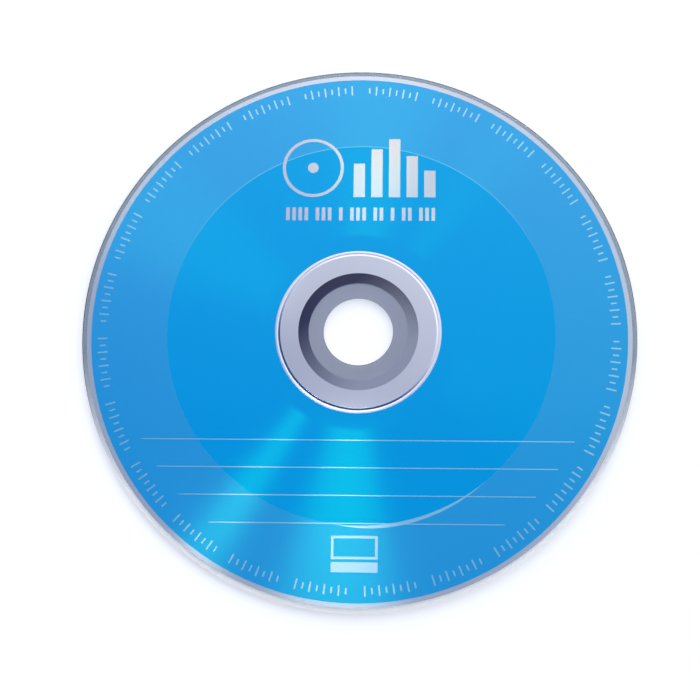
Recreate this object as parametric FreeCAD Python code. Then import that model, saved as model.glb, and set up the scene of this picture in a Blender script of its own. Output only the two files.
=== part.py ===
import FreeCAD, Part
import math
import os

# A recordable compact disc lying with its printed side up, in millimetres.
# The origin is on the disc's axis, at the lowest point of the stacking ring, with +Z up.
# +Y points to the top of the print, and the ruled writing lines run along X.

# Moulded disc
disc_radius = 60.0
disc_thickness = 1.2
bore_radius = 7.5
bore_chamfer = 0.1
rim_bevel = 0.12
hub_step_width = 3.3
hub_step_depth = 0.05

# Stacking ring on the read side, which keeps discs in a pile apart
stack_ring_from_bore = 10.0
stack_ring_width = 1.0
stack_ring_crown = 0.3
stack_ring_height = 0.22

# Groove that the holder of the stamping plate leaves in the label side
groove_from_bore = 9.7
groove_width = 0.5
groove_floor = 0.2
groove_depth = 0.12

# Reflective film
film_thickness = 0.02
clear_hub_width = 5.5
clear_rim_width = 1.0
bead_from_print = 0.25
bead_width = 0.4
bead_height = 0.03

# Blue print
ink_thickness = 0.02
silver_hub_width = 5.0
silver_rim_width = 1.0
outer_band_width = 16.0
field_shift_x = 0.5
field_shift_y = 0.1
field_gap = 0.02

# Bare crescent on the edge between the two fields
crescent_start_angle = -97.0
crescent_peak_angle = -79.0
crescent_end_angle = -51.0
crescent_width = 0.75

# Ruled writing lines
line_count = 4
line_width = 0.2
line_pitch = 5.88
first_line_from_print = 5.8
line_end_inset = 6.2

# Ring of tick marks round the edge of the print
tick_group_count = 24
ticks_per_group = 8
tick_group_span = 12.5
tick_ring_inset = 1.4
tick_height = 2.2
short_tick_height = 1.3
tick_width = 0.34

# Emblem above the hub: a plain ring with a dot, and a row of level bars
emblem_from_print = 12.4
emblem_ring_x = -10.4
emblem_ring_radius = 6.8
emblem_ring_stroke = 0.7
emblem_dot_radius = 1.2
level_bar_heights = (7.8, 11.2, 13.6, 9.6, 6.2)
level_bar_width = 2.5
level_bar_pitch = 3.9
first_level_bar_x = -1.4

# Row of short marks under the emblem
mark_row_from_print = 7.0
mark_row_start_x = -16.2
mark_height = 3.0
mark_width = 0.8
mark_pitch = 1.35
mark_group_counts = (4, 3, 1, 3, 2, 1, 2, 3)
mark_group_gap = 1.1

# Small badge-shaped frame and bar below the ruled lines
frame_left_x = -5.2
frame_from_print_edge = 9.1
frame_width = 9.8
frame_height = 4.9
frame_stroke = 0.55
frame_bar_height = 2.1
frame_bar_gap = 0.6

# Levels and radii that follow
hub_step_radius = bore_radius + hub_step_width
groove_radius = bore_radius + groove_from_bore
stack_ring_radius = bore_radius + stack_ring_from_bore
film_inner_radius = bore_radius + clear_hub_width
film_outer_radius = disc_radius - clear_rim_width
print_inner_radius = film_inner_radius + silver_hub_width
print_outer_radius = film_outer_radius - silver_rim_width
bead_radius = print_inner_radius - bead_from_print
field_radius = print_outer_radius - outer_band_width
first_line_y = -(print_inner_radius + first_line_from_print)
emblem_foot_y = print_inner_radius + emblem_from_print
mark_row_foot_y = print_inner_radius + mark_row_from_print
frame_foot_y = frame_from_print_edge - print_outer_radius
read_face_z = stack_ring_height
label_face_z = read_face_z + disc_thickness
hub_face_z = label_face_z - hub_step_depth
film_top_z = label_face_z + film_thickness
window_overrun = ink_thickness


def point(radius, height):
    """A point of a profile, which lies in the XZ plane."""
    return FreeCAD.Vector(radius, 0, height)


def polar(radius, degrees):
    """A point of the print, at a distance and a direction from the axis."""
    angle = math.radians(degrees)
    return FreeCAD.Vector(radius * math.cos(angle), radius * math.sin(angle), 0)


def straight_edges(points):
    """Straight edges from each point to the next."""
    return [Part.LineSegment(a, b).toShape() for a, b in zip(points, points[1:])]


def tangent_arc(touch, direction, end):
    """The arc that leaves touch along direction and ends at end."""
    direction = FreeCAD.Vector(direction).normalize()
    chord = end - touch
    across = chord - direction * chord.dot(direction)
    radius = chord.dot(chord) / (2 * across.Length)
    centre = touch + across.normalize() * radius
    middle = (touch + end) * 0.5 - centre
    return Part.Arc(touch, centre + middle.normalize() * radius, end).toShape()


def revolved(edges):
    """The solid that a closed profile sweeps about the disc's axis."""
    wire = Part.Wire(Part.__sortEdges__(edges))
    return Part.Face(wire).revolve(FreeCAD.Vector(0, 0, 0), FreeCAD.Vector(0, 0, 1), 360)


def groove_points(base_z):
    """The mouth and floor of the groove, from its inner to its outer edge."""
    half_mouth = groove_width / 2
    half_floor = groove_floor / 2
    floor_z = base_z - groove_depth
    return [
        point(groove_radius - half_mouth, base_z),
        point(groove_radius - half_floor, floor_z),
        point(groove_radius + half_floor, floor_z),
        point(groove_radius + half_mouth, base_z),
    ]


def stack_ring_points():
    """The drafted flanks and the flat crown of the stacking ring, from its outer edge inward."""
    half_foot = stack_ring_width / 2
    half_crown = stack_ring_crown / 2
    return [
        point(stack_ring_radius + half_foot, read_face_z),
        point(stack_ring_radius + half_crown, 0),
        point(stack_ring_radius - half_crown, 0),
        point(stack_ring_radius - half_foot, read_face_z),
    ]


def polycarbonate_disc():
    """The clear moulded disc: bore, hub step, groove, bevelled rim and stacking ring."""
    bore_foot = point(bore_radius + bore_chamfer, read_face_z)
    outline = [
        bore_foot,
        point(bore_radius, read_face_z + bore_chamfer),
        point(bore_radius, hub_face_z - bore_chamfer),
        point(bore_radius + bore_chamfer, hub_face_z),
        point(hub_step_radius, hub_face_z),
        point(hub_step_radius, label_face_z),
        *groove_points(label_face_z),
        point(disc_radius - rim_bevel, label_face_z),
        point(disc_radius, label_face_z - rim_bevel),
        point(disc_radius, read_face_z + rim_bevel),
        point(disc_radius - rim_bevel, read_face_z),
        *stack_ring_points(),
        bore_foot,
    ]
    return revolved(straight_edges(outline))


def reflective_layer():
    """The metal film with its lacquer, which lines the groove and ends in a bead at the print."""
    inner_edge = point(film_inner_radius, label_face_z)
    outline = [
        inner_edge,
        *groove_points(label_face_z),
        point(film_outer_radius, label_face_z),
        point(film_outer_radius, film_top_z),
        point(bead_radius + bead_width / 2, film_top_z),
        point(bead_radius, film_top_z + bead_height),
        point(bead_radius - bead_width / 2, film_top_z),
        *reversed(groove_points(film_top_z)),
        point(film_inner_radius, film_top_z),
        inner_edge,
    ]
    return revolved(straight_edges(outline))


def ink_cylinder(radius, x=0.0, y=0.0, overrun=0.0):
    """A round plate of ink on the film, or a taller one that cuts through it."""
    base = FreeCAD.Vector(x, y, film_top_z - overrun)
    return Part.makeCylinder(radius, ink_thickness + 2 * overrun, base)


def window_prism(face):
    """A flat face in the XY plane, raised into a cutter that passes through the ink."""
    face.translate(FreeCAD.Vector(0, 0, film_top_z - window_overrun))
    return face.extrude(FreeCAD.Vector(0, 0, ink_thickness + 2 * window_overrun))


def rectangle(left, foot, width, height):
    """A flat rectangle in the XY plane."""
    return Part.makePlane(width, height, FreeCAD.Vector(left, foot, 0))


def ruled_lines():
    """Writing lines that all end on one circle about the axis."""
    reach = print_outer_radius - line_end_inset
    lines = []
    for index in range(line_count):
        y = first_line_y - index * line_pitch
        if abs(y) < reach:
            half_length = math.sqrt(reach ** 2 - y ** 2)
            lines.append(rectangle(-half_length, y - line_width / 2, 2 * half_length, line_width))
    return lines


def tick_ring():
    """Groups of ticks round the print, every second tick short, with a gap at the top."""
    middle_radius = print_outer_radius - tick_ring_inset - tick_height / 2
    group_pitch = 360 / tick_group_count
    tick_pitch = tick_group_span / ticks_per_group
    ticks = []
    for group in range(tick_group_count):
        group_angle = (group + 0.5) * group_pitch
        for index in range(ticks_per_group):
            height = tick_height if index % 2 == 0 else short_tick_height
            tick = rectangle(-tick_width / 2, middle_radius - height / 2, tick_width, height)
            along_group = (index - (ticks_per_group - 1) / 2) * tick_pitch
            tick.rotate(FreeCAD.Vector(0, 0, 0), FreeCAD.Vector(0, 0, 1), group_angle + along_group)
            ticks.append(tick)
    return ticks


def disc_face(radius, x, y):
    """A flat round face in the XY plane."""
    circle = Part.Circle(FreeCAD.Vector(x, y, 0), FreeCAD.Vector(0, 0, 1), radius)
    return Part.Face(Part.Wire(circle.toShape()))


def emblem():
    """A plain ring with a dot in it, and level bars of different heights beside it."""
    ring_y = emblem_foot_y + emblem_ring_radius
    ring = disc_face(emblem_ring_radius, emblem_ring_x, ring_y)
    ring = ring.cut(disc_face(emblem_ring_radius - emblem_ring_stroke, emblem_ring_x, ring_y))
    faces = [*ring.Faces, disc_face(emblem_dot_radius, emblem_ring_x, ring_y)]
    for index, height in enumerate(level_bar_heights):
        left = first_level_bar_x + index * level_bar_pitch
        faces.append(rectangle(left, emblem_foot_y, level_bar_width, height))
    return faces


def mark_row():
    """Short upright marks in groups, where a line of small print would stand."""
    marks = []
    left = mark_row_start_x
    for count in mark_group_counts:
        for index in range(count):
            marks.append(rectangle(left + index * mark_pitch, mark_row_foot_y, mark_width, mark_height))
        left += count * mark_pitch + mark_group_gap
    return marks


def framed_badge():
    """An outlined frame with a solid bar under it."""
    outer = rectangle(frame_left_x, frame_foot_y, frame_width, frame_height)
    inner = rectangle(
        frame_left_x + frame_stroke,
        frame_foot_y + frame_stroke,
        frame_width - 2 * frame_stroke,
        frame_height - 2 * frame_stroke,
    )
    bar_foot = frame_foot_y - frame_bar_gap - frame_bar_height
    bar = rectangle(frame_left_x, bar_foot, frame_width, frame_bar_height)
    return [*outer.cut(inner).Faces, bar]


def crescent():
    """A sickle outside the round field, with its tips in the gap: quick to widen, slow to fade."""
    field_centre = FreeCAD.Vector(field_shift_x, field_shift_y, 0)
    tip_radius = field_radius + field_gap / 2
    start = field_centre + polar(tip_radius, crescent_start_angle)
    middle = field_centre + polar(tip_radius, crescent_peak_angle)
    end = field_centre + polar(tip_radius, crescent_end_angle)
    peak = field_centre + polar(tip_radius + crescent_width, crescent_peak_angle)
    round_the_axis = polar(1, crescent_peak_angle + 90)
    edges = [
        Part.Arc(start, middle, end).toShape(),
        tangent_arc(peak, round_the_axis, end),
        tangent_arc(peak, round_the_axis, start),
    ]
    return [Part.Face(Part.Wire(Part.__sortEdges__(edges)))]


def print_windows():
    """Cutters for every place where the ink is left out and the film shows."""
    faces = [*ruled_lines(), *tick_ring(), *emblem(), *mark_row(), *framed_badge(), *crescent()]
    return [window_prism(face) for face in faces]


def label_ink_inner(windows):
    """The deep blue round field, from the silver hub ring to the edge of the field."""
    field = ink_cylinder(field_radius, field_shift_x, field_shift_y)
    return field.cut([ink_cylinder(print_inner_radius, overrun=window_overrun), *windows])


def label_ink_outer(windows):
    """The lighter blue ring, a hair's breadth outside the round field."""
    opening_radius = field_radius + field_gap
    opening = ink_cylinder(opening_radius, field_shift_x, field_shift_y, window_overrun)
    return ink_cylinder(print_outer_radius).cut([opening, *windows])


def main():
    windows = print_windows()
    nodes = {
        "polycarbonate_disc": polycarbonate_disc(),
        "reflective_layer": reflective_layer(),
        "label_ink_inner": label_ink_inner(windows),
        "label_ink_outer": label_ink_outer(windows),
    }
    os.makedirs("parts", exist_ok=True)
    for name, shape in nodes.items():
        shape.exportStep(f"parts/{name}.step")


main()
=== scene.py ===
import math

import bmesh
import bpy
from mathutils import Matrix, Vector


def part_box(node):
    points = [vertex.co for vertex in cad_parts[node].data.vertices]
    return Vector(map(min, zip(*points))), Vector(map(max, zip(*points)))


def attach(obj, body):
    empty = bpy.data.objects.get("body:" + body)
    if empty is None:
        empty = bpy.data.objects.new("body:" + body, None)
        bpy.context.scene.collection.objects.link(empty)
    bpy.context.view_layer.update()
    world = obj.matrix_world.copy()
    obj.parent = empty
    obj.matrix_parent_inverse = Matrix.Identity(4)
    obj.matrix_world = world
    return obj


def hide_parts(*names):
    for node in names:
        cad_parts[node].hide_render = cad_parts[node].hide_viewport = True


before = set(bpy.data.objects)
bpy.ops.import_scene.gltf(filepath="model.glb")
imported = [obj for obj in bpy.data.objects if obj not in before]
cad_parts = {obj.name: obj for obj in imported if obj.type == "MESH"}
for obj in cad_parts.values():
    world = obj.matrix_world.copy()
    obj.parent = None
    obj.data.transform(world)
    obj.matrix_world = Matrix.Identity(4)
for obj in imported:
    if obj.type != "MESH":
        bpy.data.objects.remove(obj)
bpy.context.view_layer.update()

MM = 0.001


def reach(low, high):
    """How far a box about the axis reaches on its nearest side."""
    return min(high[0], high[1], -low[0], -low[1])


# What the frame gives: the outer radii and the levels of the disc, the film and the ink
DISC_LOW, DISC_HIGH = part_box("polycarbonate_disc")
FILM_LOW, FILM_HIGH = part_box("reflective_layer")
INK_LOW, INK_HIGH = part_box("label_ink_outer")
DISC_RADIUS = reach(DISC_LOW, DISC_HIGH)
FILM_OUTER_RADIUS = reach(FILM_LOW, FILM_HIGH)
PRINT_RADIUS = reach(INK_LOW, INK_HIGH)
LABEL_FACE_Z = DISC_HIGH[2]
FILM_TOP_Z = INK_LOW[2]

# Moulded disc, as in the construction model, with its rim rounded instead of bevelled
READ_FACE_Z = 0.22 * MM
BORE_RADIUS = 7.5 * MM
BORE_CHAMFER = 0.1 * MM
RIM_ROUND = 0.12 * MM
HUB_STEP_RADIUS = 10.8 * MM
HUB_STEP_DEPTH = 0.05 * MM
STACK_RING_RADIUS = 17.5 * MM
STACK_RING_WIDTH = 1.0 * MM
STACK_RING_CROWN = 0.3 * MM

# Groove, with its inner wall eased and its outer wall made steeper than in that model
GROOVE_RADIUS = 17.2 * MM
GROOVE_WIDTH = 0.5 * MM
GROOVE_FLOOR = 0.2 * MM
GROOVE_DEPTH = 0.12 * MM
GROOVE_OUTER_WALL = 0.05 * MM

# Film with its lacquer, sunk a little into the disc
FILM_INNER_RADIUS = 13.0 * MM
FILM_SINK = 0.004 * MM
BEAD_RADIUS = 17.75 * MM
BEAD_WIDTH = 0.4 * MM
BEAD_HEIGHT = 0.03 * MM

# Facets round the axis, steps along each rounding, the angle from which an edge is sharp, and the
# narrow strips beside the edges that keep the flat faces' shading flat
SEGMENTS = 720
ROUND_STEPS = 6
SHARP_ANGLE = math.radians(25)
EDGE_HOLD = 0.02 * MM

# A face whose normal points further down than this is on the read side
READ_SIDE_NORMAL = -0.5

# Clear plastic: its gloss at the bore and elsewhere, and the light that passes into its shadow
POLYCARBONATE_IOR = 1.585
BORE_ROUGHNESS = 0.25
CLEAR_ROUGHNESS = 0.02
CLEAR_SHADOW = (0.66, 0.70, 0.80)

# Its colours: beside the bore from low to high, lighter towards the top, and in the hub and on the
# rim from a pale tint to a painted shade
BORE_TINTS = ((0.25, 0.28, 0.365), (0.33, 0.365, 0.455))
HUB_TINT_AND_PAINTED_SHADE = ((0.33, 0.36, 0.46), (0.005, 0.01, 0.085))
RIM_TINT_AND_PAINTED_SHADE = ((0.99, 0.99, 1.0), (0.31, 0.375, 0.445))

# Painted shade: the clear hub's colour darkens towards the upper left, across this distance on
# both sides of the axis
HUB_SHADE_SIDE = (-0.64, 0.77, 0)
HUB_SHADE_REACH = 9.2 * MM

# Painted shade: the clear rim's colour darkens towards the top between these places along y, and
# its tint begins under the film's edge
RIM_PALE_Y = -35 * MM
RIM_DARK_Y = -5 * MM
RIM_FADE = 0.5 * MM

# Where the fine spiral of tracks begins, and how the light that it draws out is spread
TRACK_INNER_RADIUS = 21.6 * MM
TRACK_FADE = 0.5 * MM
TRACK_ROUGHNESS = 0.18
TRACK_ANISOTROPY = 0.76
HAZE_ROUGHNESS = 0.5

# The plain film round the hub, its bead, the lacquer over both, and the metal's faint patches in
# waves a metre
SATIN_ROUGHNESS = 0.1
BEAD_ROUGHNESS = 0.28
LACQUER_COAT = 0.2
LACQUER_ROUGHNESS = 0.1
METAL_PATCHES = 60

# Track pitch of the disc against the light that it spreads into colours, in micrometres
TRACK_PITCH = 1.6
RAINBOW_STRENGTH = 0.12
RAINBOW_ROUGHNESS = 0.15
RAINBOW = (
    (0.64, (1.0, 0.05, 0.02)),
    (0.58, (0.9, 0.75, 0.05)),
    (0.53, (0.1, 1.0, 0.15)),
    (0.48, (0.05, 0.6, 1.0)),
    (0.44, (0.3, 0.1, 1.0)),
)

# Round area of the emblem and the mark row, whose film looks warmer than the other windows.
# Outside it the windows' wide gloss is painted blue, a painted reflection of the ink round the
# narrow windows
EMBLEM_CENTRE = (0, 31 * MM, 0)
EMBLEM_RADIUS = 20.5 * MM
EMBLEM_FADE = 0.5 * MM

# Inks: their grain and the slight ripples of their surface, in waves a metre, and their gloss
INK_GRAIN = 2600
INK_ROUGHNESS_LOW = 0.36
INK_ROUGHNESS_HIGH = 0.46
INK_RIPPLES = 140
INK_RIPPLE_HEIGHT = 0.02 * MM
INK_RIPPLE_STRENGTH = 0.15
INK_COAT_ROUGHNESS = 0.4

# Place along y from which the inks are painted lighter towards the top, as painted light
INK_PAINTED_LIGHT_LOW = -25 * MM

# Painted highlight: a pale line along the edge where the two inks meet, for the light from behind
# that catches that edge. It fades in between these places along y, so it shows in the upper part
# only
FIELD_CENTRE = (0.5 * MM, 0.1 * MM, 0)
FIELD_RADIUS = 42.0 * MM
SEAM_WIDTH = 0.2 * MM
SEAM_LOW = 16 * MM
SEAM_TOP = 38 * MM
SEAM_PAINTED_HIGHLIGHT = (0.17, 0.62, 0.95)

# Floor, with the glow that makes it look white
FLOOR_SIZE = 3.0
FLOOR_DROP = 0.02 * MM
FLOOR_COLOUR = (0.8, 0.8, 0.8)
FLOOR_GLOW = 0.42

# Light of the room: in front, behind and to the right, and low down. The heights are those of a
# direction's end on a sphere of radius 1
ROOM_FRONT = (0.03, 0.10, 0.27)
ROOM_BACK = (1.5, 1.515, 1.548)
ROOM_BACK_SIDE = (0.5, 0.85, 0.0)
ROOM_BACK_REACH = 0.421
ROOM_LOW = (1.0, 1.03, 1.1)
ROOM_LOW_TOP = 0.45
ROOM_LOW_FULL = 0.25
ROOM_HORIZON_STRENGTH = 0.6
ROOM_FULL_HEIGHT = 0.6
WHITE = (1, 1, 1)

# Lamps: name, place and diameter in millimetres, and power in watts
LAMPS = (
    ("lamp_front", (-22, 34, 600), 48, 0.12),
    ("lamp_left", (-84, 38, 600), 22, 0.055),
    ("lamp_far_left", (-105, 190, 600), 60, 0.033),
    ("soft_box", (-230, 1300, 700), 1300, 7.0),
)

# Camera, read from the circles and ruled lines of the photograph
CAMERA_PLACE = Vector((7.3, -68.9, 295.2)) * MM
CAMERA_AIM = Vector((-1.73, -4.19, 1.46)) * MM
CAMERA_ROLL = math.radians(0.74)
CAMERA_LENS = 71.8
CAMERA_SENSOR = 36.0
CAMERA_NEAR = 1 * MM
CAMERA_FAR = 20.0


class Nodes:
    """A node tree being built, with short calls for the nodes that the scene shares."""

    def __init__(self, tree, output_kind):
        self.tree = tree
        tree.nodes.clear()
        self.output = tree.nodes.new(output_kind)

    def node(self, kind, **settings):
        made = self.tree.nodes.new(kind)
        for key, value in settings.items():
            setattr(made, key, value)
        return made

    def put(self, value, socket):
        """Links an output to a socket, or sets a plain value there."""
        if isinstance(value, bpy.types.NodeSocket):
            self.tree.links.new(value, socket)
        elif socket.type == "RGBA":
            socket.default_value = (*value, 1)
        else:
            socket.default_value = value

    def put_all(self, made, *values):
        """Puts values into a node's first sockets, and returns the node."""
        for value, socket in zip(values, made.inputs):
            self.put(value, socket)
        return made

    def fill(self, made, **values):
        """Puts values into sockets by name, with _ for a space, and returns the node."""
        for key, value in values.items():
            self.put(value, made.inputs[key.replace("_", " ")])
        return made

    def maths(self, operation, first, second):
        made = self.node("ShaderNodeMath", operation=operation)
        return self.put_all(made, first, second).outputs[0]

    def vector_maths(self, operation, *values):
        made = self.node("ShaderNodeVectorMath", operation=operation)
        self.put_all(made, *values)
        return made.outputs["Value" if operation in ("LENGTH", "DOT_PRODUCT") else "Vector"]

    def spread(self, value, low, high, low_in=0.0, high_in=1.0):
        """Maps a value from one range onto another."""
        made = self.node("ShaderNodeMapRange")
        self.fill(made, Value=value, From_Min=low_in, From_Max=high_in, To_Min=low, To_Max=high)
        return made.outputs[0]

    def along(self, point, direction, low, high, low_out=0.0):
        """A value that rises to 1 between two distances along a direction."""
        distance = self.vector_maths("DOT_PRODUCT", point, direction)
        return self.spread(distance, low_out, 1.0, low, high)

    def colours(self, value, low, high):
        """A colour between low and high."""
        made = self.node("ShaderNodeMix", data_type="RGBA")
        for source, index in ((value, 0), (low, 6), (high, 7)):
            self.put(source, made.inputs[index])
        return made.outputs[2]

    def mix(self, share, first, second):
        return self.put_all(self.node("ShaderNodeMixShader"), share, first, second).outputs[0]

    def add(self, first, second):
        return self.put_all(self.node("ShaderNodeAddShader"), first, second).outputs[0]

    def finish(self, shader):
        self.put(shader, self.output.inputs["Surface"])


class Shader(Nodes):
    """A material being built, with calls for what lies round the disc's axis."""

    def __init__(self, name):
        self.material = bpy.data.materials.new(name)
        self.material.use_nodes = True
        super().__init__(self.material.node_tree, "ShaderNodeOutputMaterial")

    def place(self):
        """The point's place in the disc's own frame, in metres."""
        return self.node("ShaderNodeTexCoord").outputs["Object"]

    def outward(self):
        """The direction straight away from the disc's axis."""
        flat = self.vector_maths("MULTIPLY", self.place(), (1, 1, 0))
        return self.vector_maths("NORMALIZE", flat)

    def around(self):
        """The direction of the tracks, round the disc's axis."""
        return self.vector_maths("CROSS_PRODUCT", self.outward(), (0, 0, 1))

    def beyond(self, radius, fade, centre=(0, 0, 0)):
        """A value that rises from 0 to 1 across a radius about a centre."""
        apart = self.vector_maths("SUBTRACT", self.place(), centre)
        flat = self.vector_maths("MULTIPLY", apart, (1, 1, 0))
        distance = self.vector_maths("LENGTH", flat)
        return self.spread(distance, 0.0, 1.0, radius - fade, radius + fade)

    def rise(self, low, high, direction=(0, 1, 0)):
        """A value that rises from 0 to 1 between two distances from the disc's axis."""
        return self.along(self.place(), direction, low, high)

    def noise(self, scale, detail):
        """A noise value from 0 to 1, with scale in waves a metre."""
        made = self.node("ShaderNodeTexNoise")
        self.fill(made, Vector=self.place(), Scale=scale, Detail=detail)
        return made.outputs["Fac"]

    def bump(self, height, distance, strength):
        made = self.node("ShaderNodeBump")
        self.fill(made, Height=height, Distance=distance, Strength=strength)
        return made.outputs[0]

    def gloss(self, colour, roughness, anisotropy=0.0):
        """A mirror of one colour, blurred, and drawn out along the radius by anisotropy."""
        made = self.node("ShaderNodeBsdfAnisotropic")
        self.fill(
            made,
            Color=colour,
            Roughness=roughness,
            Anisotropy=anisotropy,
            Tangent=self.around(),
        )
        return made.outputs[0]

    def finish(self, shader):
        super().finish(shader)
        return self.material


def rainbow_lobes(shader):
    """The colours that the tracks throw to either side: one tilted gloss for each wavelength."""
    outward = shader.outward()
    normal = shader.node("ShaderNodeNewGeometry").outputs["Normal"]
    total = None
    for side in (1, -1):
        for wavelength, colour in RAINBOW:
            tilt = math.tan(math.asin(wavelength / TRACK_PITCH) / 2) * side
            lean = shader.vector_maths("MULTIPLY", outward, (tilt, tilt, tilt))
            tilted = shader.vector_maths("NORMALIZE", shader.vector_maths("ADD", normal, lean))
            lobe = shader.gloss([part * RAINBOW_STRENGTH for part in colour], RAINBOW_ROUGHNESS)
            shader.fill(lobe.node, Normal=tilted)
            total = lobe if total is None else shader.add(total, lobe)
    return total


def polycarbonate():
    """Clear moulded plastic with a faint blue-grey tint and painted shade, which lets lamps
    through.
    """
    shader = Shader("clear_polycarbonate")
    body = shader.node("ShaderNodeBsdfPrincipled")
    off_bore = shader.beyond(HUB_STEP_RADIUS, HUB_STEP_DEPTH)
    across = shader.rise(-FILM_INNER_RADIUS, FILM_INNER_RADIUS)
    aslant = shader.rise(-HUB_SHADE_REACH, HUB_SHADE_REACH, HUB_SHADE_SIDE)
    bore_side = shader.colours(across, *BORE_TINTS)
    # Painted shade: near the film the hub's colour darkens towards the upper left
    film_side_painted_shade = shader.colours(aslant, *HUB_TINT_AND_PAINTED_SHADE)
    hub = shader.colours(off_bore, bore_side, film_side_painted_shade)
    # Painted shade: the rim's colour darkens towards the top
    rim = shader.colours(shader.rise(RIM_PALE_Y, RIM_DARK_Y), *RIM_TINT_AND_PAINTED_SHADE)
    at_rim = shader.beyond(FILM_OUTER_RADIUS - RIM_FADE, RIM_FADE)
    shader.fill(
        body,
        Base_Color=shader.colours(at_rim, hub, rim),
        Roughness=shader.spread(off_bore, BORE_ROUGHNESS, CLEAR_ROUGHNESS),
        IOR=POLYCARBONATE_IOR,
        Transmission_Weight=1.0,
    )
    clear = shader.node("ShaderNodeBsdfTransparent")
    shader.fill(clear, Color=CLEAR_SHADOW)
    shadow = shader.node("ShaderNodeLightPath").outputs["Is Shadow Ray"]
    return shader.finish(shader.mix(shadow, body.outputs[0], clear.outputs[0]))


def silver(
    name, low, high, haze, emblem_haze, rim_haze, streak, emblem_streak, share, rainbow
):
    """Satin metal film, with the tracks' streaks and colours outside the plain inner band.

    low and high are the metal's colours, haze is its wide gloss in the windows of the print, whose
    blue on the top film is a painted reflection, and share and rainbow are the parts of the
    streaks and of the colours.
    """
    shader = Shader(name)
    body = shader.node("ShaderNodeBsdfPrincipled")
    on_bead = shader.beyond(BEAD_RADIUS - BEAD_WIDTH, EDGE_HOLD)
    shader.fill(
        body,
        Base_Color=shader.colours(shader.noise(METAL_PATCHES, 3), low, high),
        Metallic=1.0,
        Roughness=shader.spread(on_bead, SATIN_ROUGHNESS, BEAD_ROUGHNESS),
        Coat_Weight=LACQUER_COAT,
        Coat_Roughness=LACQUER_ROUGHNESS,
    )
    at_rim = shader.beyond(PRINT_RADIUS - EDGE_HOLD, EDGE_HOLD)
    off_emblem = shader.beyond(EMBLEM_RADIUS, EMBLEM_FADE, EMBLEM_CENTRE)
    # Painted reflection: outside the emblem's round area the windows' wide gloss is painted blue
    window = shader.colours(off_emblem, emblem_haze, haze)
    hazy = shader.gloss(shader.colours(at_rim, window, rim_haze), HAZE_ROUGHNESS)
    streak = shader.colours(off_emblem, emblem_streak, streak)
    streaks = shader.gloss(streak, TRACK_ROUGHNESS, TRACK_ANISOTROPY)
    tracks = shader.mix(rainbow, shader.mix(share, hazy, streaks), rainbow_lobes(shader))
    outside = shader.beyond(TRACK_INNER_RADIUS, TRACK_FADE)
    return shader.finish(shader.mix(outside, body.outputs[0], tracks))


def blue_ink(name, low, high, streak, share, coat):
    """Clear blue ink over the film, with painted light, a painted highlight and the film's
    streaks.
    """
    shader = Shader(name)
    body = shader.node("ShaderNodeBsdfPrincipled")
    # Painted light: the ink's colour grows lighter towards the top
    colour = shader.colours(shader.rise(INK_PAINTED_LIGHT_LOW, INK_HIGH[1]), low, high)
    # Painted highlight: a pale line along the inner field's edge, fading in towards the top
    seam_in = shader.beyond(FIELD_RADIUS, EDGE_HOLD, FIELD_CENTRE)
    seam_out = shader.beyond(FIELD_RADIUS + SEAM_WIDTH, EDGE_HOLD, FIELD_CENTRE)
    painted_highlight = shader.maths("SUBTRACT", seam_in, seam_out)
    painted_highlight = shader.maths("MULTIPLY", painted_highlight, shader.rise(SEAM_LOW, SEAM_TOP))
    ripples = shader.noise(INK_RIPPLES, 2)
    shader.fill(
        body,
        Base_Color=shader.colours(painted_highlight, colour, SEAM_PAINTED_HIGHLIGHT),
        Roughness=shader.spread(
            shader.noise(INK_GRAIN, 2), INK_ROUGHNESS_LOW, INK_ROUGHNESS_HIGH
        ),
        Specular_IOR_Level=0.0,
        Coat_Weight=coat,
        Coat_Roughness=INK_COAT_ROUGHNESS,
        Normal=shader.bump(ripples, INK_RIPPLE_HEIGHT, INK_RIPPLE_STRENGTH),
    )
    plain = shader.gloss(streak, SATIN_ROUGHNESS)
    tracks = shader.gloss(streak, TRACK_ROUGHNESS, TRACK_ANISOTROPY)
    film = shader.mix(shader.beyond(TRACK_INNER_RADIUS, TRACK_FADE), plain, tracks)
    return shader.finish(shader.mix(share, body.outputs[0], film))


def revolved(name, outline):
    """A closed outline of (radius, height) points swept about the axis as an even mesh."""
    count = len(outline)
    vertices = []
    faces = []
    for segment in range(SEGMENTS):
        angle = 2 * math.pi * segment / SEGMENTS
        this, following = segment * count, (segment + 1) % SEGMENTS * count
        for index, (radius, height) in enumerate(outline):
            after = (index + 1) % count
            vertices.append((radius * math.cos(angle), radius * math.sin(angle), height))
            faces.append((this + index, following + index, following + after, this + after))
    mesh = bpy.data.meshes.new(name)
    mesh.from_pydata(vertices, [], faces)
    mesh.validate()
    shape = bmesh.new()
    shape.from_mesh(mesh)
    bmesh.ops.recalc_face_normals(shape, faces=shape.faces)
    shape.to_mesh(mesh)
    shape.free()
    mesh.shade_smooth()
    mesh.set_sharp_from_angle(angle=SHARP_ANGLE)
    piece = bpy.data.objects.new(name, mesh)
    bpy.context.scene.collection.objects.link(piece)
    return piece


def groove_outline(base_z):
    """The groove from its inner to its outer edge: an eased inner wall and a steep outer one."""
    mouth_in = GROOVE_RADIUS - GROOVE_WIDTH / 2
    mouth_out = GROOVE_RADIUS + GROOVE_WIDTH / 2
    return [
        (mouth_in - EDGE_HOLD, base_z),
        (mouth_in, base_z),
        (GROOVE_RADIUS + GROOVE_FLOOR / 2, base_z - GROOVE_DEPTH),
        (mouth_out - GROOVE_OUTER_WALL, base_z - GROOVE_DEPTH),
        (mouth_out, base_z),
    ]


def rim_outline(face_z, turn):
    """The rim's rounding from a flat face outwards, turning up with 1 or down with -1."""
    points = []
    for step in range(ROUND_STEPS + 1):
        angle = math.pi / 2 * step / ROUND_STEPS
        radius = DISC_RADIUS - RIM_ROUND * (1 - math.sin(angle))
        points.append((radius, face_z + turn * RIM_ROUND * (1 - math.cos(angle))))
    return points


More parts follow.
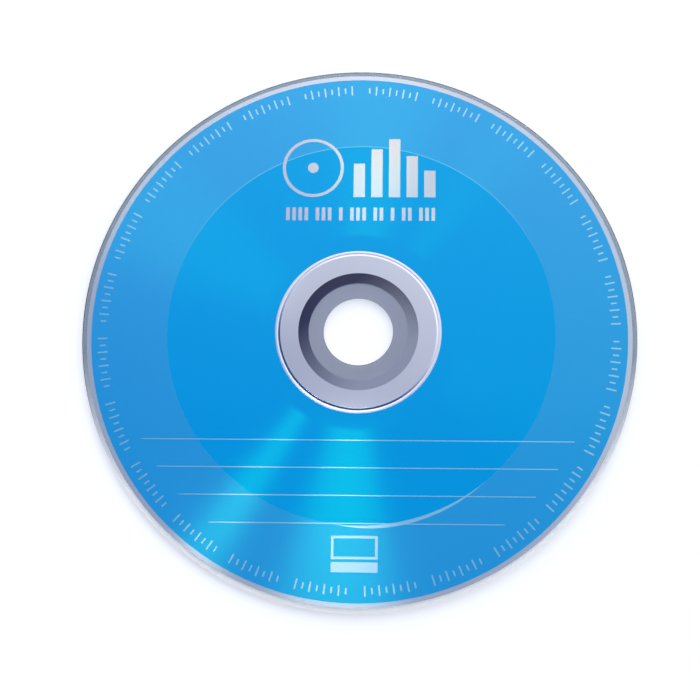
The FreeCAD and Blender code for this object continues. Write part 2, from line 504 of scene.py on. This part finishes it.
def make_disc(material):
    """The moulded disc: bore, hub step, groove, rounded rim and stacking ring."""
    flat_out = DISC_RADIUS - RIM_ROUND - EDGE_HOLD
    hub_z = LABEL_FACE_Z - HUB_STEP_DEPTH
    outline = [
        (BORE_RADIUS + BORE_CHAMFER, READ_FACE_Z),
        (BORE_RADIUS, READ_FACE_Z + BORE_CHAMFER),
        (BORE_RADIUS, hub_z - BORE_CHAMFER),
        (BORE_RADIUS + BORE_CHAMFER, hub_z),
        (HUB_STEP_RADIUS - HUB_STEP_DEPTH, hub_z),
        (HUB_STEP_RADIUS, LABEL_FACE_Z),
        *groove_outline(LABEL_FACE_Z),
        (flat_out, LABEL_FACE_Z),
        *rim_outline(LABEL_FACE_Z, -1),
        *reversed(rim_outline(READ_FACE_Z, 1)),
        (flat_out, READ_FACE_Z),
        (STACK_RING_RADIUS + STACK_RING_WIDTH / 2, READ_FACE_Z),
        (STACK_RING_RADIUS + STACK_RING_CROWN / 2, 0.0),
        (STACK_RING_RADIUS - STACK_RING_CROWN / 2, 0.0),
        (STACK_RING_RADIUS - STACK_RING_WIDTH / 2, READ_FACE_Z),
    ]
    piece = revolved("clear_disc", outline)
    piece.data.materials.append(material)
    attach(piece, "root")
    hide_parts("polycarbonate_disc")


def make_film(top_material, read_material):
    """The film from the clear hub to the clear rim, lining the groove, with the lacquer's bead."""
    low_z = LABEL_FACE_Z - FILM_SINK
    bead = [(BEAD_RADIUS + BEAD_WIDTH / 2 + EDGE_HOLD, FILM_TOP_Z)]
    for step in range(2 * ROUND_STEPS + 1):
        outward = 1 - step / (2 * ROUND_STEPS)
        height = BEAD_HEIGHT * (1 - outward ** 2)
        bead.append((BEAD_RADIUS + (outward - 0.5) * BEAD_WIDTH, FILM_TOP_Z + height))
    bead.append((BEAD_RADIUS - BEAD_WIDTH / 2, FILM_TOP_Z))
    outline = [
        (FILM_INNER_RADIUS, low_z),
        *groove_outline(low_z),
        (FILM_OUTER_RADIUS, low_z),
        (FILM_OUTER_RADIUS, FILM_TOP_Z),
        *bead,
        *reversed(groove_outline(FILM_TOP_Z)),
        (FILM_INNER_RADIUS, FILM_TOP_Z),
    ]
    piece = revolved("silver_film", outline)
    piece.data.materials.append(top_material)
    piece.data.materials.append(read_material)
    for face in piece.data.polygons:
        if face.normal.z < READ_SIDE_NORMAL:
            face.material_index = 1
    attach(piece, "root")
    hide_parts("reflective_layer")


def dress_ink(node, material):
    """Gives a printed field of the frame its ink."""
    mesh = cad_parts[node].data
    mesh.materials.clear()
    mesh.materials.append(material)


def make_floor():
    """A pale floor that looks white to the camera and keeps the disc's shadow."""
    shape = bmesh.new()
    bmesh.ops.create_grid(shape, x_segments=1, y_segments=1, size=FLOOR_SIZE)
    mesh = bpy.data.meshes.new("floor")
    shape.to_mesh(mesh)
    shape.free()
    floor = bpy.data.objects.new("floor", mesh)
    floor.location.z = -FLOOR_DROP
    bpy.context.scene.collection.objects.link(floor)
    shader = Shader("pale_floor")
    matt = shader.node("ShaderNodeBsdfDiffuse")
    shader.fill(matt, Color=FLOOR_COLOUR)
    glow = shader.fill(shader.node("ShaderNodeEmission"), Strength=FLOOR_GLOW)
    dark = shader.fill(shader.node("ShaderNodeEmission"), Strength=0.0)
    path = shader.node("ShaderNodeLightPath").outputs
    seen = shader.maths("MAXIMUM", path["Is Camera Ray"], path["Is Glossy Ray"])
    seen = shader.maths("MAXIMUM", seen, path["Is Transmission Ray"])
    lift = shader.mix(seen, dark.outputs[0], glow.outputs[0])
    floor.data.materials.append(shader.finish(shader.add(matt.outputs[0], lift)))


def make_world():
    """A soft pale room, lighter behind and low down, which the camera sees as white."""
    world = bpy.data.worlds.new("studio")
    world.use_nodes = True
    bpy.context.scene.world = world
    nodes = Nodes(world.node_tree, "ShaderNodeOutputWorld")
    place = nodes.node("ShaderNodeTexCoord").outputs["Generated"]
    behind = nodes.along(place, ROOM_BACK_SIDE, 0.0, ROOM_BACK_REACH)
    low_down = nodes.along(place, (0, 0, -1), -ROOM_LOW_TOP, -ROOM_LOW_FULL)
    strength = nodes.along(place, (0, 0, 1), 0.0, ROOM_FULL_HEIGHT, ROOM_HORIZON_STRENGTH)
    sky = nodes.colours(low_down, nodes.colours(behind, ROOM_FRONT, ROOM_BACK), ROOM_LOW)
    room = nodes.fill(nodes.node("ShaderNodeBackground"), Color=sky, Strength=strength)
    white = nodes.fill(nodes.node("ShaderNodeBackground"), Color=WHITE)
    seen = nodes.node("ShaderNodeLightPath").outputs["Is Camera Ray"]
    nodes.finish(nodes.mix(seen, room.outputs[0], white.outputs[0]))


def make_lamp(name, place, size, watts):
    """A round soft lamp at a place in millimetres, turned to the disc."""
    light = bpy.data.lights.new(name, "AREA")
    light.shape = "DISK"
    light.size = size * MM
    light.energy = watts
    lamp = bpy.data.objects.new(name, light)
    lamp.location = Vector(place) * MM
    lamp.rotation_euler = (-lamp.location).to_track_quat("-Z", "Y").to_euler()
    bpy.context.scene.collection.objects.link(lamp)


def make_camera():
    """The photograph's view, from a little in front of straight above."""
    data = bpy.data.cameras.new("photo_camera")
    data.lens = CAMERA_LENS
    data.sensor_width = CAMERA_SENSOR
    data.clip_start = CAMERA_NEAR
    data.clip_end = CAMERA_FAR
    camera = bpy.data.objects.new("photo_camera", data)
    view = (CAMERA_AIM - CAMERA_PLACE).normalized()
    side = view.cross(Vector((0, 1, 0))).normalized()
    turn = Matrix((side, side.cross(view), -view)).transposed().to_4x4()
    roll = Matrix.Rotation(CAMERA_ROLL, 4, "Z")
    camera.matrix_world = Matrix.Translation(CAMERA_PLACE) @ turn @ roll
    bpy.context.scene.collection.objects.link(camera)
    bpy.context.scene.camera = camera


def main():
    bpy.context.scene.view_settings.view_transform = "Standard"
    make_camera()
    make_world()
    for lamp in LAMPS:
        make_lamp(*lamp)
    make_floor()
    make_disc(polycarbonate())
    top_silver = silver(
        "silver_film",
        low=(0.625, 0.64, 0.735),
        high=(0.655, 0.67, 0.765),
        # Painted reflection: the narrow windows' wide gloss is painted blue
        haze=(0.19, 0.64, 0.94),
        emblem_haze=(0.48, 0.51, 0.68),
        rim_haze=(0.52, 0.57, 0.74),
        streak=(0.37, 0.50, 0.54),
        emblem_streak=(0.36, 0.38, 0.47),
        share=0.4,
        rainbow=0.12,
    )
    dye = (0.46, 0.60, 0.62)
    read_silver = silver(
        "silver_read_side",
        low=(0.62, 0.66, 0.72),
        high=(0.65, 0.69, 0.75),
        haze=dye,
        emblem_haze=dye,
        rim_haze=dye,
        streak=dye,
        emblem_streak=dye,
        share=0.5,
        rainbow=0.3,
    )
    make_film(top_silver, read_silver)
    # Each ink's high colour is painted lighter, as painted light towards the top
    deep_blue = blue_ink(
        "deep_blue_ink",
        low=(0.001, 0.337, 0.86),
        high=(0.016, 0.392, 0.94),
        streak=(0.005, 0.80, 0.40),
        share=0.1,
        coat=0.05,
    )
    light_blue = blue_ink(
        "light_blue_ink",
        low=(0.001, 0.312, 0.80),
        high=(0.040, 0.375, 0.91),
        streak=(0.02, 0.72, 0.56),
        share=0.14,
        coat=0.6,
    )
    dress_ink("label_ink_inner", deep_blue)
    dress_ink("label_ink_outer", light_blue)


main()
